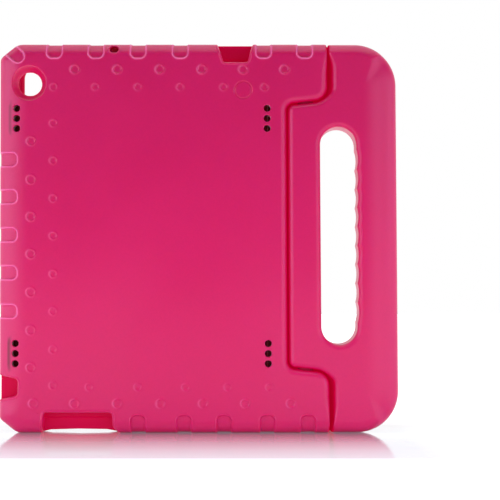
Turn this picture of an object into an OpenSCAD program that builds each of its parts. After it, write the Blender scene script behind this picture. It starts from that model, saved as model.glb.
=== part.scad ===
// Moulded foam tablet case with a folding carry handle.
// Stands on a short edge: X runs across the case towards the handle,
// Y runs from the back face (-Y) to the screen side (+Y), Z is up along the long edge.
// The origin is the centre of the footprint, at floor level.

/* [Overall] */
// Height of the case along its long edge
case_h = 272; // [262:1:290]
// Overall thickness of shell and handle
case_t = 28; // [26:1:32]
// Left outer face of the shell
shell_x0 = -140; // [-142:0.5:-136]
// Right outer face of the shell, beside the handle
shell_x1 = 60.6; // [58:0.2:61]
// Tip of the two hinge tabs
tab_x = 88.8; // [86:0.1:89]
// Depth of the outer back edges' rounding
back_round = 11; // [8:0.5:12]
// Width of the outer back edges' rounding
back_round_w = 14; // [10:0.5:15]
// Rounding of the outer screen-side edges
front_round = 6; // [3:0.5:7]

/* [Tablet bay] */
// Width of the tablet that fits the bay
tablet_w = 174.1; // [172:0.1:175]
// Length of the tablet that fits the bay
tablet_l = 250.6; // [248:0.1:252]
// Thickness of the tablet that fits the bay
tablet_t = 7.5; // [6:0.1:8]
// Foam thickness behind the tablet
back_wall = 8; // [7:0.5:9]
// How far the lip holds over the tablet's long edges
lip_x = 3.2; // [2:0.2:5]
// How far the lip holds over the tablet's short edges
lip_z = 5; // [3:0.5:7]
// Camera window across the case
camera_x = -118.6; // [-119.5:0.1:-117]
// Camera window's height
camera_z = 243.6; // [242:0.1:244.5]
// Camera window's inner radius
camera_r = 7.8; // [7:0.1:8.6]

/* [Handle] */
// Outer face of the handle
handle_x1 = 139; // [137:0.5:142]
// Inner face of the handle's wings, beyond the hinge tabs
wing_x0 = 90.8; // [90.8:0.2:93]
// Inner face of the handle's root, between the hinge tabs
root_x0 = 62.2; // [61.8:0.1:63]
// Half height of the handle's root
root_half = 92.2; // [88:0.1:94]
// Radius of the handle's outer corners
handle_corner = 29; // [22:1:34]
// Centre of the hand slot across the case
slot_x = 97; // [96:0.5:98]
// Half width of the hand slot
slot_r = 12.5; // [11:0.5:13]
// Half length of the hand slot
slot_half = 76.1; // [70:0.5:78]
// Number of finger grip scallops
grip_n = 9; // [7:1:9]
// Pitch of the finger grip scallops
grip_pitch = 13.3; // [12:0.1:13.5]
// Depth of the finger grip scallops
grip_depth = 1.0; // [0.6:0.1:1.6]

/* [Hinge] */
// Hinge axis across the case
hinge_x = 74; // [73.8:0.1:74.4]
// Hinge axis through the thickness
hinge_y = -5; // [-5.2:0.1:-4.8]
// Radius of the hinge pins
pin_r = 2.2; // [1.8:0.1:2.6]
// Outer radius of the bushes
bush_r = 4.8; // [4:0.1:5.2]
// Length of each bush
bush_l = 20; // [14:1:24]
// Fold angle shown
fold = 0; // [0:5:100]

/* [Grip pattern] */
// Width of the edge flutes
flute_w = 10.3; // [8:0.1:12]
// Depth of the edge flutes
flute_d = 1.1; // [0.8:0.1:2]
// Depth of the round dimples
dimple_d = 0.6; // [0.3:0.1:1]

/* [Hidden] */
$fn = 48;
eps = 0.01;
foam = "#d8266b";
yb = -case_t / 2;              // back face
yf = case_t / 2;               // screen-side face
zc = case_h / 2;
hz = zc + 1.5;                 // middle of the handle's root, a little above the case's
tab_gap = 1.8;                 // gap between the handle's root and each tab
tab_z = root_half + tab_gap;   // half height of the notch between the tabs
bay_cx = -39.9;                // middle of the tablet across the case
bay_w = tablet_w + 0.9;
bay_l = tablet_l + 0.9;
bay_y0 = yb + back_wall;
bay_y1 = bay_y0 + tablet_t + 0.6;
win_w = bay_w - 2 * lip_x;
win_l = bay_l - 2 * lip_z;
win_cut = 4.5;                 // bevel of the screen window
clip_room = 3.4;               // pocket beyond each shell bush

// Grip pattern positions
flutes_top = [-101, -72, -42.7, -13.4, 44.6, 73.2];
flutes_bottom = [-42.5, -10.6, 17.2, 47.3, 75.6];
flutes_left = [85, 111.8, 138.2, 164.8, 190.7];
dimples_b_top = [-86.6, -57.1, -27.6, 1.7, 30.4, 59.2];
dimples_c_top = [-101.3, -72.2, -42.7, -13.3, 16.8, 45.1];
dimples_b_bottom = [-115, -86.4, -56.8, -26.8, 2.7, 31.9, 63.5];
dimples_c_bottom = [-76.3, -42.6, -9.5, 19.7, 48.5];
dimples_b_left = [46, 71.9, 98.4, 124.9, 150.9, 176.7, 203.4];
dimples_c_left = [33.7, 58.6, 85.2, 111.2, 137.6, 163.6, 189.9, 215.9];

// A prism along Y: the flat shape is drawn as (x, z)
module along_y(y0, y1) {
    translate([0, y1, 0]) rotate([90, 0, 0]) linear_extrude(height = y1 - y0) children();
}

// Rectangle in (x, z) with separate corner radii on exact circles
module round_rect(x0, z0, x1, z1, r) {
    difference() {
        translate([x0, z0]) square([x1 - x0, z1 - z0]);
        for (c = [[x0, z0, 1, 1], [x1, z0, -1, 1], [x0, z1, 1, -1], [x1, z1, -1, -1]])
            translate([c[0], c[1]]) difference() {
                translate([c[2] > 0 ? -1 : -r, c[3] > 0 ? -1 : -r]) square([r + 1, r + 1]);
                translate([c[2] * r, c[3] * r]) circle(r);
            }
    }
}

// Outline of the shell's slab, drawn in by d on every side but the tabs' end
module slab_outline(d) {
    x0 = shell_x0 + d; x1 = tab_x - 0.36 * d; z0 = d; z1 = case_h - d;
    cx = 12.4 - d * 0.3; cz = 9.8 - d * 0.3; k = 2.2;
    polygon([[x0, z0 + cz + k], [x0 + 0.9, z0 + cz - 1.2], [x0 + cx - 1.6, z0 + 0.8], [x0 + cx + k, z0],
             [x1 - 1.2, z0], [x1, z0 + 1.2], [x1, z1 - 1.2], [x1 - 1.2, z1],
             [x0 + cx + k, z1], [x0 + cx - 1.6, z1 - 0.8], [x0 + 0.9, z1 - cz + 1.2], [x0, z1 - cz - k]]);
}

// Rounded slab of the shell, drawn inwards by skin
module slab(skin = 0) {
    rw = back_round_w; rb = back_round; rf = front_round;
    hull() {
        for (a = [0, 20, 40, 60, 75, 90]) {
            y = yb + rb - (rb - skin) * sin(a);
            along_y(y, y + eps) slab_outline(rw - (rw - skin) * cos(a));
        }
        for (a = [0, 30, 60, 90]) {
            y = yf - rf + (rf - skin) * sin(a);
            along_y(y - eps, y) slab_outline(rf - (rf - skin) * cos(a));
        }
    }
}

// Space between the hinge tabs, where the handle's root sits
module notch_2d() {
    r = 6; q = 15;
    round_rect(shell_x1, hz - tab_z, tab_x + 20, hz + tab_z, r);
    for (s = [-1, 1]) translate([tab_x - q, hz + s * tab_z]) difference() {
        translate([0, s > 0 ? -1 : -q]) square([q + 20, q + 1]);
        translate([0, s * q]) circle(q);
    }
}

// Flute cutter: a round-ended tongue reaching in from an edge
module tongue(len) {
    translate([-flute_w / 2, 0]) square([flute_w, len]);
    circle(flute_w / 2);
}

module flutes_2d() {
    reach = 10.6 - flute_w / 2;
    for (x = flutes_top) translate([x, case_h - reach]) tongue(30);
    for (x = flutes_bottom) translate([x, reach + 2]) mirror([0, 1]) tongue(30);
    for (z = flutes_left) translate([shell_x0 + reach + 2.4, z]) rotate(90) tongue(30);
    translate([shell_x0 + 13, case_h - 9.4]) rotate(45) tongue(30);
}

module dimple(x, z, r) {
    translate([x, yb - 1, z]) rotate([-90, 0, 0]) cylinder(r = r, h = 1 + dimple_d);
}

// Three sound holes and the channel behind them
module speaker_group(x, z) {
    for (i = [-1, 0, 1]) translate([x, yb - 1, z + 7 * i]) rotate([-90, 0, 0]) cylinder(r = 2.3, h = back_wall + 2);
    along_y(bay_y0, bay_y1 - 2) round_rect(x - 4.5, z - 11.5, x + 4.5, z + 11.5, 3.5);
}

module bay_outline(w, l, r) {
    round_rect(bay_cx - w / 2, zc - l / 2, bay_cx + w / 2, zc + l / 2, r);
}

module case_shell() {
    color(foam) difference() {
        slab();
        // edge flutes, down to an inner skin
        difference() {
            along_y(yb - 1, yf + 1) flutes_2d();
            slab(flute_d);
        }
        along_y(yb - 1, yf + 1) notch_2d();
        // tablet bay and the screen window in front of it
        along_y(bay_y0, bay_y1) bay_outline(bay_w, bay_l, 9);
        hull() {
            along_y(bay_y1 - 0.5, bay_y1 + 2) bay_outline(win_w, win_l, 8);
            along_y(yf + 1, yf + 1 + eps) bay_outline(win_w + 2 * win_cut, win_l + 2 * win_cut, 11);
        }
        // camera window, flared outwards
        translate([camera_x, yb, camera_z]) rotate([-90, 0, 0]) cylinder(r1 = camera_r + 4.2, r2 = camera_r, h = back_wall);
        translate([camera_x, yb - 4, camera_z]) rotate([-90, 0, 0]) cylinder(r = camera_r + 4.2, h = 4);
        translate([camera_x, bay_y0 - 0.5, camera_z]) rotate([-90, 0, 0]) cylinder(r = camera_r, h = 1);
        for (x = [bay_cx - 87.2, bay_cx + 87.2], z = [zc - 80.2, zc + 83.2]) speaker_group(x, z);
        // button window in the upper edge
        along_y(yb - 1, bay_y1 - 0.5) polygon([[11.4, 280], [12.5, 271.5], [17.0, 258.1], [33.2, 258.1], [37, 271.5], [37.7, 280]]);
        // port window in the lower edge, and its relief in the lip
        along_y(yb - 1, bay_y1 - 0.5) polygon([[-110.5, -5], [-109.8, 0], [-108, 14.8], [-60.6, 14.8], [-59.8, 4.5], [-56, 0], [-54, -5]]);
        along_y(bay_y1 - 1, yf + 1) polygon([[-113, -5], [-109.5, 1.8], [-59.5, 1.8], [-53.5, -5]]);
        // socket window in the left edge
        along_y(yb - 1, bay_y1 - 0.5) polygon([[-145, 40.4], [-138.6, 39.7], [-127.4, 38], [-126, 36.6], [-126, 28], [-127.4, 26.6], [-138.6, 23.5], [-145, 22.6]]);
        // microphone hole in the upper edge, and its way to the bay
        translate([-59.4, yb - 1, 267.2]) rotate([-90, 0, 0]) {
            for (d = [-0.8, 0.8]) translate([d, 0, 0]) cylinder(r = 2.2, h = back_wall + 4);
            translate([-0.8, -2.2, 0]) cube([1.6, 4.4, back_wall + 4]);
        }
        translate([-62, bay_y0, 260]) cube([5.2, 3, 7.2]);
        // round witness line
        translate([30.4, yb - 1, 238.8]) rotate([-90, 0, 0]) difference() {
            cylinder(r = 6.3, h = 1.5);
            translate([0, 0, -1]) cylinder(r = 5.6, h = 3);
        }
        for (x = dimples_b_top) dimple(x, 253.4, 3.4);
        for (x = dimples_c_top) dimple(x, 241.1, 2.9);
        for (x = dimples_b_bottom) dimple(x, 21.1, 3.4);
        for (x = dimples_c_bottom) dimple(x, 32.5, 2.9);
        for (z = dimples_b_left) dimple(-116.9, z, 3.4);
        for (z = dimples_c_left) dimple(-101.4, z, 2.9);
        // seats for the bushes and rings
        for (s = [-1, 1]) hinge_side(s) {
            translate([0, 0, tab_z - 1]) cylinder(r = pin_r + 0.5, h = 4);
            translate([0, 0, tab_z + 2]) cylinder(r = bush_r, h = bush_l + clip_room);
        }
    }
}

// Places a shape drawn upwards from the middle of the hinge axis, on side s
module hinge_side(s) {
    translate([hinge_x, hinge_y, hz]) mirror([0, 0, s > 0 ? 0 : 1]) children();
}

// Everything that turns with the handle is drawn through this
module folded() {
    translate([hinge_x, hinge_y, 0]) rotate([0, 0, -fold]) translate([-hinge_x, -hinge_y, 0]) children();
}

// Wings and bar of the handle, a rounded slab
module handle_slab() {
    ro = 11; z0 = 0.3;
    hull() {
        for (s = [-1, 1]) for (a = [0, 22.5, 45, 67.5, 90]) {
            d = ro * (1 - cos(a));
            y = s * (case_t / 2 - ro * (1 - sin(a)));
            translate([0, y, 0]) rotate([90, 0, 0]) linear_extrude(height = eps, center = true)
                handle_outline(d, z0);
        }
    }
}

module handle_outline(d, z0) {
    r = handle_corner; x0 = wing_x0 + min(d, 3); x1 = handle_x1 - d;
    polygon(concat(
        [[x0, z0 + d]],
        [for (a = [-90:10:0]) [x1 - r + d + (r - d) * cos(a), z0 + r + (r - d) * sin(a)]],
        [for (a = [0:10:90]) [x1 - r + d + (r - d) * cos(a), case_h - z0 - r + (r - d) * sin(a)]],
        [[x0, case_h - z0 - d]]));
}

// Root of the handle between the tabs: rounded on its inner side
module handle_root() {
    r = 5; h = case_t / 2;
    translate([0, 0, hz - root_half]) linear_extrude(height = 2 * root_half) {
        difference() {
            translate([root_x0, -h]) square([wing_x0 + 6 - root_x0, 2 * h]);
            for (s = [-1, 1]) translate([root_x0, s * h]) difference() {
                translate([-1, s > 0 ? -r : -1]) square([r + 1, r + 1]);
                translate([r, -s * r]) circle(r);
            }
        }
    }
}

module handle_grip() {
    q = 12.6; R = (grip_pitch * grip_pitch / 4 + grip_depth * grip_depth) / (2 * grip_depth);
    color(foam) folded() difference() {
        union() {
            handle_slab();
            handle_root();
            // webs in the corners between root and wings
            for (s = [-1, 1]) along_y(yb + 4, yf - 4) translate([wing_x0, hz + s * root_half]) difference() {
                translate([-q, s > 0 ? -1 : -q]) square([q + 6, q + 1]);
                translate([-q, s * (q - 0.05)]) circle(q);
            }
        }
        // round corners of the root
        for (s = [-1, 1]) along_y(yb - 1, yf + 1) translate([root_x0, hz + s * root_half]) difference() {
            translate([-1, s > 0 ? -8 : -1]) square([9, 9]);
            translate([8, -s * 8]) circle(8);
        }
        // hand slot
        along_y(yb - 1, yf + 1) {
            translate([slot_x - slot_r, hz - slot_half + slot_r]) square([2 * slot_r, 2 * slot_half - 2 * slot_r]);
            for (s = [-1, 1]) translate([slot_x, hz + s * (slot_half - slot_r)]) circle(slot_r);
        }
        // finger grip scallops on the bar
        intersection() {
            union() for (i = [0 : grip_n - 1])
                translate([slot_x + slot_r + 0.15 + grip_depth - R, yb - 1, hz + (i - (grip_n - 1) / 2) * grip_pitch])
                    rotate([-90, 0, 0]) cylinder(r = R, h = case_t + 2, $fn = 96);
            translate([slot_x - 4, yb - 2, hz - slot_half - 5]) cube([2 * slot_r, case_t + 4, 2 * slot_half + 10]);
        }
        // seats for the bushes
        for (s = [-1, 1]) hinge_side(s) {
            translate([0, 0, root_half - 1]) cylinder(r = bush_r + 0.8, h = 3);
            translate([0, 0, root_half - bush_l]) cylinder(r = bush_r, h = bush_l + 1);
        }
    }
}

// Plain nylon bush set in the shell's tab
module shell_bush(s) {
    color("#a6184c") hinge_side(s) translate([0, 0, tab_z + 2]) difference() {
        cylinder(r = bush_r, h = bush_l);
        translate([0, 0, -1]) cylinder(r = pin_r + 0.05, h = bush_l + 2);
    }
}

// Flanged nylon bush set in the handle's root; it grips the pin
module handle_bush(s) {
    color("#a6184c") folded() hinge_side(s) difference() {
        union() {
            translate([0, 0, root_half - 1]) cylinder(r = bush_r + 0.7, h = 1);
            translate([0, 0, root_half - bush_l]) cylinder(r = bush_r, h = bush_l);
        }
        translate([0, 0, root_half - bush_l + 2]) cylinder(r = pin_r, h = bush_l);
    }
}

// Steel pin, grooved near its tip for the ring
module hinge_pin(s) {
    tip = tab_z + 2 + bush_l;
    color("#b9bcc0") folded() hinge_side(s) difference() {
        union() {
            translate([0, 0, root_half - bush_l + 2]) cylinder(r = pin_r, h = tip + 1.8 - root_half + bush_l - 2);
            translate([0, 0, tip + 1.8]) cylinder(r1 = pin_r, r2 = pin_r - 0.8, h = 0.8);
        }
        translate([0, 0, tip + 0.3]) difference() {
            cylinder(r = pin_r + 1, h = 0.8);
            translate([0, 0, -1]) cylinder(r = pin_r - 0.5, h = 3);
        }
    }
}

// Friction washer in the gap between root and tab
module friction_washer(s) {
    color("#6e1030") folded() hinge_side(s) translate([0, 0, root_half + 0.02]) difference() {
        cylinder(r = bush_r + 0.6, h = tab_gap - 0.08);
        translate([0, 0, -1]) cylinder(r = pin_r + 0.1, h = 5);
    }
}

// Snap ring in the pin's groove
module retaining_ring(s) {
    color("#8d9196") folded() hinge_side(s) translate([0, 0, tab_z + 2 + bush_l + 0.35]) difference() {
        cylinder(r = pin_r + 1.9, h = 0.7);
        translate([0, 0, -1]) cylinder(r = pin_r - 0.45, h = 3);
        translate([-8, -1.4, -1]) cube([8, 2.8, 3]);
    }
}

case_shell();
handle_grip();
shell_bush(1);  // upper_shell_bush
shell_bush(-1);  // lower_shell_bush
handle_bush(1);  // upper_handle_bush
handle_bush(-1);  // lower_handle_bush
hinge_pin(1);  // upper_hinge_pin
hinge_pin(-1);  // lower_hinge_pin
friction_washer(1);  // upper_friction_washer
friction_washer(-1);  // lower_friction_washer
retaining_ring(1);  // upper_retaining_ring
retaining_ring(-1);  // lower_retaining_ring
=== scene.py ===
import math

import bpy
import numpy as np
from mathutils import Matrix, Vector


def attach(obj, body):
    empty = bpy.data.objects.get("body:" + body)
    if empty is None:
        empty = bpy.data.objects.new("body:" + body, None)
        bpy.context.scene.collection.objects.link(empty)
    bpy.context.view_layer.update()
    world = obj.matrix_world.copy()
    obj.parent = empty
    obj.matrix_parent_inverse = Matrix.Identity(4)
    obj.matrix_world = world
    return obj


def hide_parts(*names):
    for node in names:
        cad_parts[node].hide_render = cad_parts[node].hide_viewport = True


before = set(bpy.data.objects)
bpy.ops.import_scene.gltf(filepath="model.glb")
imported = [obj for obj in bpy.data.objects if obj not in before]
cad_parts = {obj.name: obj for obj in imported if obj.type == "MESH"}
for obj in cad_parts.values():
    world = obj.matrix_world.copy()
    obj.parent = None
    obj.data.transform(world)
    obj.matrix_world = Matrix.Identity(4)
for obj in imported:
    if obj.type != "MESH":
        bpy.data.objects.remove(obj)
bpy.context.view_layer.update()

MM = 0.001

# ---------------------------------------------------------------- fields, all in millimetres
ZC = 136.0            # middle of the height
TOP = 272.0
HZ = 137.5            # middle of the handle's root and slot
PZ = 137.5            # middle of the hinge parts
X0 = -140.0           # left side of the shell
YB, YF = -14.0, 14.0  # back and screen-side faces
HX, HY = 74.0, -5.0   # hinge axis
BX = -39.9            # middle of the tablet bay


def smin(a, b, k):
    h = np.clip(0.5 + 0.5 * (b - a) / k, 0, 1)
    return b * (1 - h) + a * h - k * h * (1 - h)


def smax(a, b, k):
    return -smin(-a, -b, k)


def rmax(a, b, r):
    """Both a and b, meeting in a round edge of radius r."""
    return np.minimum(np.maximum(a, b), -r) + np.sqrt(
        np.maximum(a + r, 0) ** 2 + np.maximum(b + r, 0) ** 2)


def emax(a, b, ra, rb):
    """Both a and b, meeting in an edge rounded ra deep along a and rb deep along b."""
    u, v = (a + ra) / ra, (b + rb) / rb
    up, vp = np.maximum(u, 0), np.maximum(v, 0)
    q = np.sqrt(up * up + vp * vp)
    m = (ra * up * up + rb * vp * vp) / np.maximum(up * up + vp * vp, 1e-9)
    return np.where((u > 0) & (v > 0), (q - 1) * m,
                    np.where(u > v * rb / ra, np.where(u > 0, a, np.maximum(a, b)),
                             np.where(v > 0, b, np.maximum(a, b))))


def ease(t):
    t = np.clip(t, 0, 1)
    return t * t * (3 - 2 * t)


def rect(x, z, x0, z0, x1, z1, r):
    dx = np.abs(x - (x0 + x1) / 2) - (x1 - x0) / 2 + r
    dz = np.abs(z - (z0 + z1) / 2) - (z1 - z0) / 2 + r
    return np.minimum(np.maximum(dx, dz), 0) + np.hypot(np.maximum(dx, 0), np.maximum(dz, 0)) - r


def bent(points, closed=True):
    """A polygon (x, z, radius) with its corners drawn as arcs."""
    out, n = [], len(points)
    for i, (px, pz, r) in enumerate(points):
        if r <= 0:
            out.append((px, pz))
            continue
        ax, az = points[i - 1][:2]
        bx, bz = points[(i + 1) % n][:2]
        ua = np.array([ax - px, az - pz], float)
        ub = np.array([bx - px, bz - pz], float)
        ua /= np.hypot(*ua)
        ub /= np.hypot(*ub)
        half = math.acos(max(-1, min(1, float(ua @ ub)))) / 2
        t = r / math.tan(half)
        c = np.array([px, pz]) + (ua + ub) / np.hypot(*(ua + ub)) * (r / math.sin(half))
        p0, p1 = np.array([px, pz]) + ua * t - c, np.array([px, pz]) + ub * t - c
        a0, a1 = math.atan2(p0[1], p0[0]), math.atan2(p1[1], p1[0])
        da = (a1 - a0 + math.pi) % (2 * math.pi) - math.pi
        k = max(3, int(abs(da) * r / 0.8) + 2)
        for s in range(k + 1):
            a = a0 + da * s / k
            out.append((c[0] + r * math.cos(a), c[1] + r * math.sin(a)))
    return out


def poly(x, z, pts):
    """Distance to a polygon in (x, z), negative inside."""
    x, z = np.broadcast_arrays(np.asarray(x, np.float32), np.asarray(z, np.float32))
    best = np.full(x.shape, 1e12, np.float32)
    inside = np.zeros(x.shape, bool)
    n = len(pts)
    for i in range(n):
        ax, az = pts[i]
        bx, bz = pts[(i + 1) % n]
        ex, ez = bx - ax, bz - az
        ll = ex * ex + ez * ez
        if ll < 1e-12:
            continue
        wx, wz = x - ax, z - az
        t = np.clip((wx * ex + wz * ez) / ll, 0, 1)
        best = np.minimum(best, (wx - t * ex) ** 2 + (wz - t * ez) ** 2)
        if abs(ez) > 1e-9:
            inside ^= ((az > z) != (bz > z)) & (x < ex * (z - az) / ez + ax)
    d = np.sqrt(best)
    return np.where(inside, -d, d)


class Plane:
    """A field over (x, z), worked out once on a fine grid and read back between its points."""

    def __init__(s, x0, x1, z0, z1, h, fn=None):
        s.x0, s.z0, s.h = x0, z0, h
        s.xs = np.arange(x0, x1 + h, h)
        s.zs = np.arange(z0, z1 + h, h)
        s.v = np.zeros((len(s.xs), len(s.zs)), np.float32)
        if fn:
            s.v[:] = fn(s.xs[:, None], s.zs[None, :])

    def stamp(s, x, z, reach, fn):
        """Adds fn to the field within reach of a point."""
        i0, i1 = np.searchsorted(s.xs, (x - reach, x + reach))
        j0, j1 = np.searchsorted(s.zs, (z - reach, z + reach))
        s.v[i0:i1, j0:j1] += fn(s.xs[i0:i1, None] - x, s.zs[None, j0:j1] - z)

    def lower(s, x0, x1, z0, z1, fn):
        """Takes the lower of the field and fn inside a box."""
        i0, i1 = np.searchsorted(s.xs, (x0, x1))
        j0, j1 = np.searchsorted(s.zs, (z0, z1))
        w = s.v[i0:i1, j0:j1]
        np.minimum(w, fn(s.xs[i0:i1, None], s.zs[None, j0:j1]), out=w)

    def __call__(s, x, z):
        u = np.clip((x - s.x0) / s.h, 0, s.v.shape[0] - 1.001)
        w = np.clip((z - s.z0) / s.h, 0, s.v.shape[1] - 1.001)
        i, j = u.astype(np.int32), w.astype(np.int32)
        fu, fw = u - i, w - j
        v = s.v
        return ((v[i, j] * (1 - fu) + v[i + 1, j] * fu) * (1 - fw)
                + (v[i, j + 1] * (1 - fu) + v[i + 1, j + 1] * fu) * fw)


# ---------------------------------------------------------------- the grip pattern
FLUTES_TOP = [-101, -72, -42.7, -13.4, 44.6, 73.2]
FLUTES_BOTTOM = [-42.5, -10.6, 17.2, 47.3, 75.6]
FLUTES_LEFT = [85, 111.8, 138.2, 164.8, 190.7]
DIMPLES = ([(x, 253.4, 3.4, 1.0) for x in (-86.6, -57.1, -27.6, 1.7, 30.4, 59.2)]
           + [(x, 241.1, 2.9, 0.6) for x in (-101.3, -72.2, -42.7, -13.3, 16.8, 45.1)]
           + [(x, 21.1, 3.4, 0.9) for x in (-115, -86.4, -56.8, -26.8, 2.7, 31.9, 63.5)]
           + [(x, 32.5, 2.9, 0.6) for x in (-76.3, -42.6, -9.5, 19.7, 48.5)]
           + [(-116.9, z, 3.4, 0.8) for z in (46, 71.9, 98.4, 124.9, 150.9, 176.7, 203.4)]
           + [(-101.4, z, 2.9, 0.6) for z in (33.7, 58.6, 85.2, 111.2, 137.6, 163.6, 189.9, 215.9)])
WITNESS = (30.5, 238.9, 5.95)
CAMERA = (-118.7, 243.8, 12.25)


def dimple(r, k):
    def fn(dx, dz):
        q = np.hypot(dx, dz)
        return k * (0.34 * ease((r - 0.9 - q) / 1.1 + 0.5) - 0.40 * np.exp(-((q - r + 0.25) / 0.62) ** 2))
    return fn


def ring(r):
    def fn(dx, dz):
        q = np.hypot(dx, dz)
        return 0.55 * np.exp(-((q - r) / 0.42) ** 2) + 0.08 * ease((r - q) / 0.6)
    return fn


relief = Plane(-142, 94, -2, 275, 0.3)      # how deep the back face is sunk
for x, z, r, k in DIMPLES:
    relief.stamp(x, z, r + 3, dimple(r, k))
relief.stamp(WITNESS[0], WITNESS[1], 9, ring(WITNESS[2]))


def tongue(cx, cz, ux, uz, half):
    """A groove that runs from a round end at (cx, cz) out along (ux, uz)."""
    def fn(x, z):
        t = np.maximum((x - cx) * ux + (z - cz) * uz, 0)
        return np.hypot(x - cx - t * ux, z - cz - t * uz) - half
    return fn


flutes = Plane(-142, 94, -2, 275, 0.3)      # distance to the nearest flute
flutes.v[:] = 9
for x in FLUTES_TOP:
    flutes.lower(x - 10, x + 10, 252, 276, lambda u, w: rect(u, w, x - 4.8, 261.6, x + 4.8, 300, 3.3))
for x in FLUTES_BOTTOM:
    flutes.lower(x - 10, x + 10, -3, 22, lambda u, w: rect(u, w, x - 4.8, -30, x + 4.8, 12.6, 3.3))
for z in FLUTES_LEFT:
    flutes.lower(-143, -116, z - 10, z + 10, lambda u, w: rect(u, w, -170, z - 4.3, -127.0, z + 4.3, 3.3))
corner_flute = Plane(-142, -110, 245, 275, 0.3, tongue(-126.5, 262.4, -0.76, 0.65, 4.1))


# ---------------------------------------------------------------- the shell
def sheared(x, z):
    """The tabs and the handle lean out a little towards the lower edge."""
    return x + 0.0068 * (z - ZC) * ease((x - 25) / 60)


# the line on which shell and handle meet, over (x, |z - HZ|), with the handle's side inside
MEET = bent([(61.35, -400, 0), (61.35, 91.85, 4.8), (90.1, 94.95, 10.4), (90.1, 400, 0), (400, 400, 0), (400, -400, 0)])
meet = Plane(40, 150, -2, 142, 0.3, lambda x, z: poly(x, z, MEET))
GAP = 0.36            # half the space between them


def meeting(x, y, z):
    """Distance to that line. It steps sideways inside the thickness, so no light shows through."""
    return meet(sheared(x, z) - 2.4 * ease(y / 9), np.abs(z - HZ))

CUTS = [bent([(11.0, 290, 0), (12.3, 272, 0), (16.8, 258.3, 1.2), (33.4, 258.3, 1.2), (37.2, 272, 0), (38.2, 290, 0)]),
        bent([(-110.5, -20, 0), (-109.8, 0.0, 0), (-107.9, 14.8, 2.0), (-60.7, 14.8, 2.4), (-59.9, 4.5, 6), (-55.0, -1.5, 0), (-52, -20, 0)]),
        bent([(-160, 41.5, 0), (-138.8, 40.3, 0), (-127.4, 38.2, 2.2), (-126.0, 36.4, 1.5), (-126.0, 28, 1.5), (-127.4, 26.2, 2.2), (-138.8, 23.4, 0), (-160, 21, 0)])]
RELIEF = bent([(-113, -9, 0), (-110.5, 0.2, 0), (-105, 1.5, 6), (-85, 2.1, 60), (-65, 1.7, 6), (-57.0, 0.2, 0), (-53, -9, 0)])


def cuts_fn(x, z):
    return np.minimum(np.minimum(poly(x, z, CUTS[0]), poly(x, z, CUTS[1])), poly(x, z, CUTS[2]))


cut_top = Plane(-2, 52, 250, 275, 0.3, lambda x, z: poly(x, z, CUTS[0]))
cut_low = Plane(-120, -44, -2, 24, 0.3, lambda x, z: poly(x, z, CUTS[1]))
cut_left = Plane(-141, -116, 14, 50, 0.3, lambda x, z: poly(x, z, CUTS[2]))
cut_lip = Plane(-120, -44, -2, 12, 0.3, lambda x, z: poly(x, z, RELIEF))


def boxed(field, x, z, far=20.0):
    """field inside its own grid, and far outside it."""
    x1, z1 = field.xs[-1], field.zs[-1]
    out = np.maximum(np.maximum(field.x0 - x, x - x1), np.maximum(field.z0 - z, z - z1))
    return np.where(out > 0, far, field(x, z))


def sides(x, z):
    """Distance to the outer sides, and how far their rounding reaches in at the back."""
    dl = X0 - x
    dt = z - TOP
    db = -z
    # chamfers across the two left corners
    n = math.hypot(9.8, 12.4)
    ct = (-(x - X0 - 12.4) * 9.8 + (z - TOP) * 12.4) / n
    cb = (-(x - X0 - 12.4) * 9.8 + (-z) * 12.4) / n
    d = smax(smax(smax(dl, ct, 2.2), smax(dt, db, 0.5), 2.2), cb, 2.2)
    w = [np.exp(np.clip(v, -60, 2) / 3.2) for v in (dl, ct, dt, db, cb)]
    total = sum(w) + 1e-12
    reach = (21 * w[0] + 13 * w[1] + 9.5 * w[2] + 10 * w[3] + 13 * w[4]) / total
    return d, reach


HOLES = [(BX - 87.2, 219.2), (BX + 87.0, 219.2), (BX - 87.8, 55.7), (BX + 87.8, 55.7)]


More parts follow.
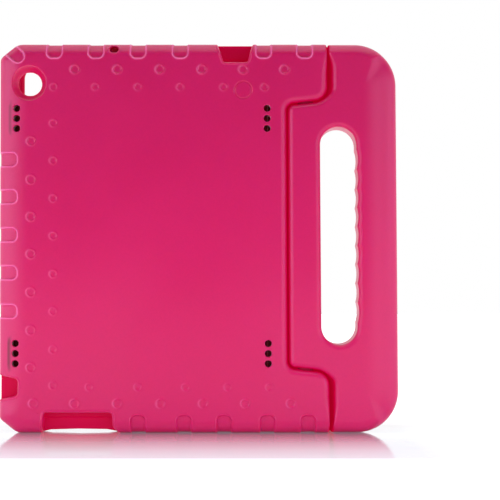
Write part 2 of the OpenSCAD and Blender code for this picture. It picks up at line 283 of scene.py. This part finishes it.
def shell(x, y, z):
    """The foam shell's field: negative in the foam."""
    d, reach = sides(x, z)
    back = YB + relief(x, z) - y
    f = emax(d, back, reach, 10.5)
    f = np.maximum(f, emax(d, y - YF, 6.0 + 0 * d, 6.0))
    # flutes
    u = flutes(x, z)
    w = 1 - ease((y - 7.5) / 2.5) * (z < 30)
    near = ease((-5.5 - y) / 3)
    f = f + w * ((1.0 - 0.45 * ease((y + 10.5) / 6)) * ease(0.5 - u / 0.9) - 0.50 * near * np.exp(-((u - 0.6) / 0.45) ** 2))
    u = boxed(corner_flute, x, z)
    f = f + near * (0.8 * ease(0.5 - u / 0.9) - 0.48 * np.exp(-((u - 0.6) / 0.45) ** 2))
    # tabs and the space between them
    zz = np.abs(z - HZ)
    f = rmax(f, GAP - meeting(x, y, z), 4.5 - 3.0 * ease((zz - 110) / 20))
    # tablet bay
    bay = rect(x, z, BX - 87.5, ZC - 125.75, BX + 87.5, ZC + 125.75, 9)
    f = smax(f, -smax(bay, np.maximum(-6.0 - y, y - 2.1), 0.7), 0.5)
    # screen window
    win = rect(x, z, BX - 84.3, ZC - 120.75, BX + 84.3, ZC + 120.75, 8)
    f = rmax(f, -np.maximum(win - 4.5 * np.clip((y - 4.1) / 9.9, 0, 1.2), 1.0 - y), 1.3)
    # windows cut in from the back
    for c in (cut_top, cut_low, cut_left):
        m = boxed(c, x, z)
        f = f - 0.42 * np.exp(-((m - 0.95) / 0.5) ** 2) * ease((-5.5 - y) / 3)
        f = rmax(f, -np.maximum(m, y - 1.6), 0.7)
    f = smax(f, -np.maximum(boxed(cut_lip, x, z), 0.6 - y), 0.8)
    # camera window
    q = np.hypot(x - CAMERA[0], z - CAMERA[1])
    flare = 7.75 + 4.5 * ease((-5.0 - y) / 9.2) ** 0.9
    f = rmax(f, -np.maximum(q - flare, y + 5.0), 0.45)
    # sound holes and the channels behind them
    for hx, hz in HOLES:
        c = np.abs(z - hz)
        s = np.minimum(np.hypot(x - hx, z - hz), np.hypot(x - hx, c - 7.0))
        f = smax(f, -np.maximum(s - 2.4, y + 5.0), 0.4)
        ch = rect(x, z, hx - 4.5, hz - 11.5, hx + 4.5, hz + 11.5, 3.5)
        f = smax(f, -np.maximum(ch, np.maximum(-6.0 - y, y - 0.1)), 0.4)
    # microphone hole
    m = rect(x, z, -62.5, 265.1, -56.5, 269.7, 2.3)
    f = f - 0.3 * np.exp(-((m - 0.9) / 0.5) ** 2) * (y < 0)
    f = smax(f, -np.maximum(m, y + 3.0), 0.6)
    m = rect(x, z, -62.0, 259.0, -56.8, 267.2, 1.0)
    f = smax(f, -np.maximum(m, np.maximum(-6.0 - y, y + 3.0)), 0.4)
    # seats of the hinge
    h = np.hypot(x - HX, y - HY)
    zp = np.abs(z - PZ)
    f = np.maximum(f, -np.maximum(h - 5.6, np.maximum(90.0 - zp, zp - 94.05)))
    f = np.maximum(f, -np.maximum(h - 2.7, np.maximum(92.9 - zp, zp - 96.5)))
    f = np.maximum(f, -np.maximum(h - 4.85, np.maximum(95.95 - zp, zp - 119.4)))
    return f


# ---------------------------------------------------------------- the handle
OUT = bent([(-400, -400, 0), (-400, 135.7, 0), (138.2, 135.7, 29.0), (138.2, -400, 0)])
handle_side = Plane(55, 148, -2, 145, 0.3, lambda x, z: poly(x, z, OUT))   # over (x, |z - ZC|)
GRIP_R = (13.3 ** 2 / 4 + 1.0) / 2.0


def slot_fn(x, z):
    d = np.hypot(x - 97.0, np.maximum(z - 63.3, 0)) - 12.5
    for i in range(0, 5):
        s = np.hypot(x - (97.0 + 12.5 + 0.15 + 1.0 - GRIP_R), z - 13.3 * i) - GRIP_R
        d = smin(d, np.maximum(s, 97.0 - x), 0.25)
    return d


slot = Plane(78, 116, -2, 84, 0.3, slot_fn)


def wing_lean(y, z):
    """How far the wings' inner wall slants away from the tabs towards the back."""
    zh = np.abs(z - HZ)
    end = np.where(z > ZC, 1 - 0.97 * ease((zh - 117) / 13), 1 - 0.5 * ease((zh - 126) / 10))
    return (0.35 + 2.1 * ease((zh - 93) / 9) * end) * ease((2 - y) / 14)


def handle(x, y, z):
    """The handle's field: negative in the foam."""
    zz = np.abs(z - ZC)
    xs = sheared(x, z)
    d = handle_side(xs, zz)
    top = ease(0.5 + ((zz - 135.7) - (xs - 138.2)) / 14)
    f = emax(d, np.abs(y) - YF, 24 * (1 - top) + 9 * top, 10.5 + 0 * d)
    zh = np.abs(z - HZ)
    lean = wing_lean(y, z) + 0.26 * ease((zh - 85) / 4) * ease((86 - x) / 8)
    f = rmax(f, GAP + meeting(x, y, z) + lean, 4.4 - 3.5 * ease((zh - 117) / 14))
    s = np.where((zh < 84) & (xs > 79) & (xs < 115), slot(xs, zh), 9.0)
    f = rmax(f, -s, 3.8)
    # seats of the hinge
    h = np.hypot(x - HX, y - HY)
    zp = np.abs(z - PZ)
    f = np.maximum(f, -np.maximum(h - 4.85, np.maximum(72.1 - zp, zp - 92.5)))
    f = np.maximum(f, -np.maximum(h - 5.6, np.maximum(91.1 - zp, zp - 96.0)))
    return f


def within(v, full, none):
    """1 where |v| is below full, 0 above none."""
    return 1 - ease((np.abs(v) - full) / (none - full))


def shell_marks(x, y, z):
    """Masks of painted light: painted shade and a painted dark red glow where foam closes round a gap, a window, the
    bay's edges, the witness ring or the camera cone; painted highlights on the bead lines and the dimples' left arcs;
    painted near-black shade in the sound hole channels.
    """
    inside = ease((y + 13.4) / 2.4) * ease((13.4 - y) / 2.4)
    # painted shade and painted glow in the gap between shell and handle
    gap = within(GAP - meeting(x, y, z), 0.5, 1.2) * inside
    # painted shade and painted glow round the edges and inside the windows cut in from the back
    c = np.minimum(np.minimum(boxed(cut_top, x, z), boxed(cut_low, x, z)), boxed(cut_left, x, z))
    cut = np.maximum(within(c, 0.5, 1.2) * ease((y + 11.5) / 4), ease(0.5 - c) * ease((y + 9) / 3)) * ease((12 - y) / 2) * 0.8
    # painted shade and painted glow along the inside of the bay's edges, left out at the sound hole channels
    bay = rect(x, z, BX - 87.5, ZC - 125.75, BX + 87.5, ZC + 125.75, 9)
    bay_shade = ease(0.5 - bay / 1.5) * ease((y + 7.5) / 1.5) * ease((3.5 - y) / 1.5) * within(bay, 8, 14) * 0.6
    for hx, hz in HOLES:
        bay_shade = bay_shade * ease((rect(x, z, hx - 4.5, hz - 11.5, hx + 4.5, hz + 11.5, 3.5) - 0.3) / 2)
    # painted shade and painted glow on the sunk witness ring; the ring itself is real relief
    q = np.hypot(x - WITNESS[0], z - WITNESS[1]) - WITNESS[2]
    witness_shade = (0.34 * np.exp(-(q / 0.5) ** 2) + 0.05 * ease(0.5 - q)) * ease((-12 - y) / 1)
    # painted highlight on the raised bead lines round the flutes
    u = flutes(x, z)
    v = boxed(corner_flute, x, z)
    near = ease((-4.0 - y) / 3) * ease((z - 20) / 10)
    bead_highlight = near * np.maximum(np.exp(-((u - 0.6) / 0.55) ** 2), np.exp(-((v - 0.6) / 0.55) ** 2))
    # painted highlight on the left arc of each dimple, as if lit from the left
    for cx, cz, r, k in DIMPLES:
        q = np.hypot(x - cx, z - cz)
        arc = np.clip(0.2 + (cx - x) / r, 0, 1) * ease((-11 - y) / 2)
        bead_highlight = np.maximum(bead_highlight, 0.42 * k * arc * np.exp(-((q - r + 0.25) / 0.6) ** 2))
    # painted shade and painted glow at the rim of the camera cone
    cone_shade = 0.22 * ease((y + 13.7) / 0.8) * within(np.hypot(x - CAMERA[0], z - CAMERA[1]), CAMERA[2] - 0.6, CAMERA[2] + 0.6)
    # painted shade: near black in the channels behind the sound holes
    dark = 0 * x
    for hx, hz in HOLES:
        dark = np.maximum(dark, ease(0.5 - (rect(x, z, hx - 4.5, hz - 11.5, hx + 4.5, hz + 11.5, 3.5) - 1) / 2))
    dark = dark * ease((y + 12.6) / 1.5) * ease((3 - y) / 1)
    return np.maximum(np.maximum(np.maximum(gap, cone_shade), witness_shade), np.maximum(cut, bay_shade)), bead_highlight, dark


def handle_marks(x, y, z):
    # painted shade and painted glow in the gap along the shell; no painted highlight or hole shade on the handle
    inside = ease((y + 13.6) / 2.4) * ease((13.4 - y) / 2.4)
    return within(GAP + meeting(x, y, z) + wing_lean(y, z), 0.4, 1.7) * inside, 0 * x, 0 * x


# ---------------------------------------------------------------- meshing
def surface(field, xs, ys, zs):
    """The zero surface of a field as quads (surface nets), its points moved onto the surface."""
    xs, ys, zs = (np.asarray(v, np.float32) for v in (xs, ys, zs))
    nx, ny, nz = len(xs), len(ys), len(zs)
    vals = np.empty((nx, ny, nz), np.float32)
    for j in range(ny):
        vals[:, j, :] = field(xs[:, None], ys[j], zs[None, :])
    ins = vals < 0
    ids, pos, loops = [], [], []
    axes = (xs, ys, zs)
    for a in range(3):
        lo = [slice(None)] * 3
        hi = [slice(None)] * 3
        lo[a], hi[a] = slice(0, -1), slice(1, None)
        e = np.argwhere(ins[tuple(lo)] != ins[tuple(hi)])
        i, j, k = e.T
        n = e.copy()
        n[:, a] += 1
        f0, f1 = vals[i, j, k], vals[n[:, 0], n[:, 1], n[:, 2]]
        t = f0 / (f0 - f1)
        p = np.stack([xs[i], ys[j], zs[k]], 1).astype(np.float64)
        g = axes[a]
        p[:, a] += t * (g[n[:, a]] - g[e[:, a]])
        b, c = (a + 1) % 3, (a + 2) % 3
        quad = []
        for db, dc in ((-1, -1), (0, -1), (0, 0), (-1, 0)):
            q = e.copy()
            q[:, b] += db
            q[:, c] += dc
            quad.append((q[:, 0].astype(np.int64) * ny + q[:, 1]) * nz + q[:, 2])
        quad = np.stack(quad, 1)
        flip = ~ins[i, j, k]
        quad[flip] = quad[flip][:, ::-1]
        loops.append(quad)
        for m in range(4):
            ids.append(quad[:, m])
            pos.append(p)
    ids, pos, loops = np.concatenate(ids), np.concatenate(pos), np.concatenate(loops)
    cells, inv = np.unique(ids, return_inverse=True)
    cnt = np.bincount(inv).astype(float)
    v = np.stack([np.bincount(inv, pos[:, m]) / cnt for m in range(3)], 1)
    faces = np.searchsorted(cells, loops)
    return settle(field, v, 2), faces


def slope(field, v, h=0.18):
    g = np.empty_like(v)
    for a in range(3):
        d = np.zeros(3)
        d[a] = h
        p, q = v + d, v - d
        g[:, a] = (field(p[:, 0], p[:, 1], p[:, 2]) - field(q[:, 0], q[:, 1], q[:, 2])) / (2 * h)
    return g


def settle(field, v, rounds, most=0.35):
    for _ in range(rounds):
        g = slope(field, v)
        f = field(v[:, 0], v[:, 1], v[:, 2])
        move = (f / np.maximum((g * g).sum(1), 0.15))[:, None] * g
        size = np.sqrt((move * move).sum(1))
        v = v - move * np.minimum(1, most / np.maximum(size, 1e-9))[:, None]
    return v


def line(*spans):
    """Grid lines from (start, end, step) spans."""
    out = []
    for a, b, h in spans:
        n = max(1, int(round((b - a) / h)))
        out += list(np.linspace(a, b, n, endpoint=False))
    out.append(spans[-1][1])
    return out


def foam_piece(name, field, marks, xs, ys, zs, most):
    v, faces = surface(field, xs, ys, zs)
    mesh = bpy.data.meshes.new(name + "_full")
    mesh.vertices.add(len(v))
    mesh.vertices.foreach_set("co", (v * MM).astype(np.float32).ravel())
    mesh.loops.add(faces.size)
    mesh.loops.foreach_set("vertex_index", faces.astype(np.int32).ravel())
    mesh.polygons.add(len(faces))
    mesh.polygons.foreach_set("loop_start", np.arange(0, faces.size, 4, dtype=np.int32))
    mesh.polygons.foreach_set("loop_total", np.full(len(faces), 4, np.int32))
    mesh.update(calc_edges=True)
    mesh.validate()
    obj = bpy.data.objects.new(name, mesh)
    bpy.context.scene.collection.objects.link(obj)
    tris = 2 * len(faces)
    if tris > most:
        mod = obj.modifiers.new("thin", "DECIMATE")
        mod.ratio = most / tris
        mod.use_collapse_triangulate = True
        dg = bpy.context.evaluated_depsgraph_get()
        thin = bpy.data.meshes.new_from_object(obj.evaluated_get(dg))
        obj.modifiers.clear()
        obj.data = thin
        bpy.data.meshes.remove(mesh)
        mesh = thin
    mesh.name = name
    n = len(mesh.vertices)
    co = np.empty(n * 3, np.float32)
    mesh.vertices.foreach_get("co", co)
    p = co.reshape(-1, 3).astype(np.float64) / MM
    p = settle(field, p, 1, 0.1)
    mesh.vertices.foreach_set("co", (p * MM).astype(np.float32).ravel())
    g = slope(field, p)
    g /= np.maximum(np.sqrt((g * g).sum(1)), 1e-9)[:, None]
    mesh.polygons.foreach_set("use_smooth", np.ones(len(mesh.polygons), bool))
    mesh.normals_split_custom_set_from_vertices(g.astype(np.float32))
    for key, v in zip(("groove", "bead_highlight", "dark"), marks(p[:, 0], p[:, 1], p[:, 2])):
        layer = mesh.attributes.new(key, "FLOAT", "POINT")
        layer.data.foreach_set("value", np.clip(v, 0, 1).astype(np.float32))
    mesh.update()
    print(name, "quads", len(faces), "kept triangles", len(mesh.polygons), "points", n)
    return obj


# ---------------------------------------------------------------- materials
def new_material(name):
    m = bpy.data.materials.new(name)
    m.use_nodes = True
    nt = m.node_tree
    return m, nt, nt.nodes["Principled BSDF"]


def add(nt, kind, **inputs):
    n = nt.nodes.new(kind)
    for k, v in inputs.items():
        if k.startswith("p_"):
            setattr(n, k[2:], v)
        else:
            n.inputs[k.replace("_", " ")].default_value = v
    return n


def lin(rgb):
    return tuple((c / 255 / 12.92 if c / 255 <= 0.04045 else ((c / 255 + 0.055) / 1.055) ** 2.4) for c in rgb) + (1,)


def foam_material():
    m, nt, b = new_material("eva_foam")
    b.inputs["Subsurface Weight"].default_value = 0.4
    b.inputs["Subsurface Scale"].default_value = 0.007
    b.inputs["Subsurface Radius"].default_value = (1.0, 0.12, 0.22)
    co = add(nt, "ShaderNodeTexCoord")
    # broad unevenness of the colour
    broad = add(nt, "ShaderNodeTexNoise", Scale=14.0, Detail=3.0, Roughness=0.55)
    fine = add(nt, "ShaderNodeTexNoise", Scale=900.0, Detail=3.0, Roughness=0.6)
    pores = add(nt, "ShaderNodeTexVoronoi", Scale=1150.0)
    for n in (broad, fine, pores):
        nt.links.new(co.outputs["Object"], n.inputs["Vector"])
    mix = add(nt, "ShaderNodeMix", p_data_type="RGBA")
    mix.inputs[6].default_value = (0.68, 0.0036, 0.117, 1)
    mix.inputs[7].default_value = (0.75, 0.0056, 0.140, 1)
    nt.links.new(broad.outputs["Fac"], mix.inputs[0])
    speck = add(nt, "ShaderNodeMix", p_data_type="RGBA", p_blend_type="MULTIPLY")
    speck.inputs[0].default_value = 0.16
    ramp = add(nt, "ShaderNodeValToRGB")
    ramp.color_ramp.elements[0].position = 0.32
    ramp.color_ramp.elements[0].color = (0.72, 0.72, 0.72, 1)
    ramp.color_ramp.elements[1].position = 0.62
    ramp.color_ramp.elements[1].color = (1, 1, 1, 1)
    nt.links.new(fine.outputs["Fac"], ramp.inputs["Fac"])
    nt.links.new(mix.outputs[2], speck.inputs[6])
    nt.links.new(ramp.outputs["Color"], speck.inputs[7])
    # painted highlight: the bead lines are mixed towards a paler pink; painted shade and painted glow: foam in a gap or
    # hollow is mixed towards dark red and given a dark red emission, standing in for the light bouncing inside it
    bead_highlight = add(nt, "ShaderNodeAttribute", p_attribute_name="bead_highlight")
    groove = add(nt, "ShaderNodeAttribute", p_attribute_name="groove")
    highlight_mix = add(nt, "ShaderNodeMix", p_data_type="RGBA")
    highlight_mix.inputs[7].default_value = (0.97, 0.16, 0.42, 1)
    nt.links.new(bead_highlight.outputs["Fac"], highlight_mix.inputs[0])
    nt.links.new(speck.outputs[2], highlight_mix.inputs[6])
    deep = add(nt, "ShaderNodeMix", p_data_type="RGBA")
    deep.inputs[7].default_value = (0.54, 0.001, 0.055, 1)
    nt.links.new(groove.outputs["Fac"], deep.inputs[0])
    nt.links.new(highlight_mix.outputs[2], deep.inputs[6])
    # painted shade: the sound hole channels are mixed towards near black
    dark = add(nt, "ShaderNodeAttribute", p_attribute_name="dark")
    hole_shade_mix = add(nt, "ShaderNodeMix", p_data_type="RGBA")
    hole_shade_mix.inputs[7].default_value = (0.10, 0.0002, 0.006, 1)
    nt.links.new(dark.outputs["Fac"], hole_shade_mix.inputs[0])
    nt.links.new(deep.outputs[2], hole_shade_mix.inputs[6])
    nt.links.new(hole_shade_mix.outputs[2], b.inputs["Base Color"])
    # painted glow: the groove mask sets a dark red emission on the foam, though it is no lamp
    b.inputs["Emission Color"].default_value = (0.95, 0.0, 0.065, 1)
    glow = add(nt, "ShaderNodeMath", p_operation="MULTIPLY")
    glow.inputs[1].default_value = 0.17
    nt.links.new(groove.outputs["Fac"], glow.inputs[0])
    nt.links.new(glow.outputs[0], b.inputs["Emission Strength"])
    matt = add(nt, "ShaderNodeMapRange")
    matt.inputs["To Min"].default_value = 0.5
    matt.inputs["To Max"].default_value = 0.0
    nt.links.new(groove.outputs["Fac"], matt.inputs["Value"])
    nt.links.new(matt.outputs["Result"], b.inputs["Specular IOR Level"])
    rough = add(nt, "ShaderNodeMapRange")
    rough.inputs["To Min"].default_value = 0.31
    rough.inputs["To Max"].default_value = 0.41
    nt.links.new(broad.outputs["Fac"], rough.inputs["Value"])
    nt.links.new(rough.outputs["Result"], b.inputs["Roughness"])
    add1 = add(nt, "ShaderNodeMath", p_operation="MULTIPLY_ADD")
    add1.inputs[1].default_value = 0.6
    nt.links.new(pores.outputs["Distance"], add1.inputs[0])
    nt.links.new(fine.outputs["Fac"], add1.inputs[2])
    bump = add(nt, "ShaderNodeBump", Strength=0.22, Distance=0.00012)
    nt.links.new(add1.outputs[0], bump.inputs["Height"])
    nt.links.new(bump.outputs["Normal"], b.inputs["Normal"])
    return m


def small_material(name, colour, rough, metal, scale, strength, spread):
    m, nt, b = new_material(name)
    b.inputs["Metallic"].default_value = metal
    if not metal:
        # painted glow: parts that are not metal get a faint dark red emission, standing in for the light bouncing in
        # the gap round them
        b.inputs["Emission Color"].default_value = (0.95, 0.0, 0.065, 1)
        b.inputs["Emission Strength"].default_value = 0.13
        b.inputs["Specular IOR Level"].default_value = 0.1
    co = add(nt, "ShaderNodeTexCoord")
    grain = add(nt, "ShaderNodeTexNoise", Scale=scale, Detail=3.0, Roughness=0.6)
    nt.links.new(co.outputs["Object"], grain.inputs["Vector"])
    mix = add(nt, "ShaderNodeMix", p_data_type="RGBA")
    mix.inputs[6].default_value = tuple(c * (1 - spread) for c in colour[:3]) + (1,)
    mix.inputs[7].default_value = tuple(min(1, c * (1 + spread)) for c in colour[:3]) + (1,)
    nt.links.new(grain.outputs["Fac"], mix.inputs[0])
    nt.links.new(mix.outputs[2], b.inputs["Base Color"])
    mr = add(nt, "ShaderNodeMapRange")
    mr.inputs["To Min"].default_value = max(0.05, rough - 0.08)
    mr.inputs["To Max"].default_value = rough + 0.08
    nt.links.new(grain.outputs["Fac"], mr.inputs["Value"])
    nt.links.new(mr.outputs["Result"], b.inputs["Roughness"])
    bump = add(nt, "ShaderNodeBump", Strength=strength, Distance=0.0001)
    nt.links.new(grain.outputs["Fac"], bump.inputs["Height"])
    nt.links.new(bump.outputs["Normal"], b.inputs["Normal"])
    return m


FOAM = foam_material()
# painted shade: nylon, steel and washer are given dark reds so they merge with the shaded gap they sit in; the spring
# keeps its grey
NYLON = small_material("moulded_nylon", (0.40, 0.008, 0.07, 1), 0.42, 0.0, 700.0, 0.15, 0.05)
STEEL = small_material("ground_steel", (0.16, 0.06, 0.07, 1), 0.5, 1.0, 1500.0, 0.12, 0.08)
WASHER = small_material("friction_washer", (0.16, 0.003, 0.02, 1), 0.7, 0.0, 1200.0, 0.3, 0.2)
SPRING = small_material("spring_steel", (0.36, 0.37, 0.39, 1), 0.35, 1.0, 1500.0, 0.12, 0.1)

for node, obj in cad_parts.items():
    mat = FOAM
    for word, m in (("bush", NYLON), ("pin", STEEL), ("washer", WASHER), ("ring", SPRING)):
        if word in node:
            mat = m
    if not obj.material_slots:
        obj.data.materials.append(mat)
    for s in obj.material_slots:
        s.material = mat

# ---------------------------------------------------------------- the two foam pieces
H = 0.68
TRIS = 192000
ys = line((-15.2, -12.8, 0.4), (-12.8, -2, 0.72), (-2, 12.6, 0.8), (12.6, 15.0, 0.6))
F = 0.8 * H
case = foam_piece("case_foam", shell, shell_marks, line((-141.4, -96, F), (-96, 93.4, H)), ys,
                  line((-1.4, 24, F), (24, 234, H), (234, 273.4, F)), TRIS)
grip = foam_piece("handle_foam", handle, handle_marks, line((60.4, 140.6, H)), ys, line((-1.0, 273.0, H)), int(TRIS * 0.5))
for obj, node, body in ((case, "case_shell", "case"), (grip, "handle_grip", "handle")):
    obj.data.materials.clear()
    obj.data.materials.append(FOAM)
    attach(obj, body)
    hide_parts(node)

# ---------------------------------------------------------------- floor, backdrop, light and camera
def sheet(name, pts, faces, mat):
    me = bpy.data.meshes.new(name)
    me.from_pydata(pts, [], faces)
    me.materials.append(mat)
    o = bpy.data.objects.new(name, me)
    bpy.context.scene.collection.objects.link(o)
    return o


def ramp(nt, source, stops):
    """A value that follows straight lines between (position, value) stops."""
    lo, hi = stops[0][0], stops[-1][0]
    mr = add(nt, "ShaderNodeMapRange")
    mr.inputs["From Min"].default_value = lo
    mr.inputs["From Max"].default_value = hi
    nt.links.new(source, mr.inputs["Value"])
    r = add(nt, "ShaderNodeValToRGB")
    e = r.color_ramp.elements
    for at, v in stops[1:-1]:
        e.new((at - lo) / (hi - lo)).color = (v, v, v, 1)
    e[0].color = (stops[0][1],) * 3 + (1,)
    e[len(e) - 1].color = (stops[-1][1],) * 3 + (1,)
    nt.links.new(mr.outputs["Result"], r.inputs["Fac"])
    return r.outputs["Color"]


def floor_material():
    """White table: a polished strip round the case, then plain white. Painted shadow: the strip's diffuse tone and its
    glow drop towards the case.
    """
    m = bpy.data.materials.new("pale_floor")
    m.use_nodes = True
    nt = m.node_tree
    nt.nodes.clear()
    out = add(nt, "ShaderNodeOutputMaterial")
    co = add(nt, "ShaderNodeTexCoord")
    sep = add(nt, "ShaderNodeSeparateXYZ")
    nt.links.new(co.outputs["Object"], sep.inputs[0])
    y = sep.outputs["Y"]
    white = add(nt, "ShaderNodeBsdfDiffuse")
    tone = ramp(nt, y, [(-1.0, 0.5), (-0.36, 0.45), (-0.31, 0.15), (-0.1487, 0.12), (-0.1486, 0.66), (-0.105, 0.70), (-0.062, 0.66), (-0.027, 0.50), (0.02, 0.6), (0.20, 0.93)])
    nt.links.new(tone, white.inputs["Color"])
    gloss = add(nt, "ShaderNodeBsdfGlossy", Roughness=0.075)
    gloss.inputs["Color"].default_value = (0.97, 0.97, 0.98, 1)
    mix = add(nt, "ShaderNodeMixShader")
    share = ramp(nt, y, [(-0.40, 0.0), (-0.1487, 0.0), (-0.1486, 0.20), (-0.135, 0.21), (-0.105, 0.35), (-0.062, 0.63), (-0.02, 0.95), (0.05, 0.7), (0.30, 0.0)])
    nt.links.new(share, mix.inputs[0])
    nt.links.new(white.outputs[0], mix.inputs[1])
    nt.links.new(gloss.outputs[0], mix.inputs[2])
    glow = add(nt, "ShaderNodeEmission")
    glow.inputs["Color"].default_value = (1, 1, 1, 1)
    cool = ramp(nt, y, [(-0.1487, 0.0), (-0.1486, 1.0), (0.0, 1.0), (0.05, 0.0)])
    tint = add(nt, "ShaderNodeMix", p_data_type="RGBA")
    tint.inputs[6].default_value = (1, 1, 1, 1)
    tint.inputs[7].default_value = (0.86, 0.97, 1.12, 1)
    nt.links.new(cool, tint.inputs[0])
    nt.links.new(tint.outputs[2], glow.inputs["Color"])
    power = ramp(nt, y, [(-1.0, 0.08), (-0.36, 0.10), (-0.31, 0.98), (-0.1487, 0.98), (-0.1486, 0.24), (-0.105, 0.21), (-0.062, 0.17), (-0.027, 0.13), (0.0, 0.08), (0.04, 0.1), (0.12, 0.45), (0.60, 0.7)])
    # painted shadow of the case: the strip's glow is lifted to the sides of the case, so it is dimmer only in line with
    # the case
    wide = add(nt, "ShaderNodeMath", p_operation="ABSOLUTE")
    nt.links.new(sep.outputs["X"], wide.inputs[0])
    beside = ramp(nt, wide.outputs[0], [(0.14, 0.0), (0.19, 0.22), (0.25, 0.3)])
    strip = ramp(nt, y, [(-0.1487, 0.0), (-0.1486, 0.5), (-0.10, 1.0), (0.02, 1.0), (0.12, 0.3)])
    lift = add(nt, "ShaderNodeMath", p_operation="MULTIPLY_ADD")
    for k, v in enumerate((beside, strip, power)):
        nt.links.new(v, lift.inputs[k])
    nt.links.new(lift.outputs[0], glow.inputs["Strength"])
    both = add(nt, "ShaderNodeAddShader")
    nt.links.new(mix.outputs[0], both.inputs[0])
    nt.links.new(glow.outputs[0], both.inputs[1])
    nt.links.new(both.outputs[0], out.inputs["Surface"])
    return m


FLOOR = floor_material()
floor = sheet("floor", [(-3, -3, 0), (3, -3, 0), (3, 3, 0), (-3, 3, 0)], [(0, 1, 2, 3)], FLOOR)


def soft_light(name, at, to, wide, tall, power, colour=(1, 1, 1), spread=180):
    d = bpy.data.lights.new(name, "AREA")
    d.shape = "RECTANGLE"
    d.size, d.size_y = wide, tall
    d.energy = power
    d.color = colour
    d.spread = math.radians(spread)
    o = bpy.data.objects.new(name, d)
    bpy.context.scene.collection.objects.link(o)
    o.location = at
    o.rotation_mode = "QUATERNION"
    o.rotation_quaternion = (Vector(to) - Vector(at)).to_track_quat("-Z", "Y")
    o.visible_camera = False
    return o


def panel(name, az, el, far, wide, tall, bright, colour=(1, 1, 1)):
    """A softbox of a given brightness, at an azimuth and elevation round the case."""
    a, e = math.radians(az), math.radians(el)
    mid = Vector((0, 0, 0.13))
    at = mid + far * Vector((math.sin(a) * math.cos(e), -math.cos(a) * math.cos(e), math.sin(e)))
    return soft_light(name, at, mid, wide, tall, math.pi * wide * tall * bright, colour)


COOL = (0.97, 0.97, 1.3)
panel("left_far", -88, 6, 1.2, 0.8, 0.9, 0.95, COOL)
panel("left", -62, 8, 1.4, 0.8, 0.9, 2.1, COOL)
panel("left_near", -37, 6, 1.6, 0.6, 0.9, 1.45, COOL).visible_diffuse = False
panel("right_near", 30, 4, 1.6, 0.5, 0.9, 1.9, COOL)
panel("right", 60, 8, 1.4, 0.8, 0.9, 1.25, COOL)
panel("right_far", 86, 6, 1.2, 0.8, 0.9, 0.7, COOL)
panel("above", 0, 80, 1.2, 1.4, 0.9, 1.5)
low = soft_light("front_low", Vector((0, -0.23, 0.05)), Vector((0, 0, 0.05)), 1.0, 0.08, math.pi * 0.08 * 1.9)
low.visible_glossy = False

world = bpy.data.worlds.new("studio")
bpy.context.scene.world = world
world.use_nodes = True
wt = world.node_tree
bg = wt.nodes["Background"]
bg.inputs["Strength"].default_value = 1.0
# white behind the object, grey on the camera's side
way = add(wt, "ShaderNodeTexCoord")
part = add(wt, "ShaderNodeSeparateXYZ")
wt.links.new(way.outputs["Generated"], part.inputs[0])
tone = add(wt, "ShaderNodeValToRGB")
tone.color_ramp.interpolation = "EASE"
tone.color_ramp.elements[0].position = 0.42
tone.color_ramp.elements[0].color = (0.08, 0.08, 0.082, 1)
tone.color_ramp.elements[1].position = 0.72
tone.color_ramp.elements[1].color = (1, 1, 1, 1)
half = add(wt, "ShaderNodeMath", p_operation="MULTIPLY_ADD")
half.inputs[1].default_value = 0.5
half.inputs[2].default_value = 0.5
wt.links.new(part.outputs["Y"], half.inputs[0])
wt.links.new(half.outputs[0], tone.inputs["Fac"])
wt.links.new(tone.outputs["Color"], bg.inputs["Color"])

bpy.context.scene.view_settings.view_transform = "Standard"
bpy.context.scene.view_settings.look = "None"

cam_data = bpy.data.cameras.new("camera")
cam_data.sensor_width = 36
cam_data.lens = 102.3
cam_data.clip_start, cam_data.clip_end = 0.02, 20
cam = bpy.data.objects.new("camera", cam_data)
bpy.context.scene.collection.objects.link(cam)
aim = Vector((0.0352, 0.0, 0.1278))
cam.location = (0.0352, -1.0, 0.1103)
cam.rotation_mode = "QUATERNION"
cam.rotation_quaternion = (aim - cam.location).to_track_quat("-Z", "Y")
bpy.context.scene.camera = cam
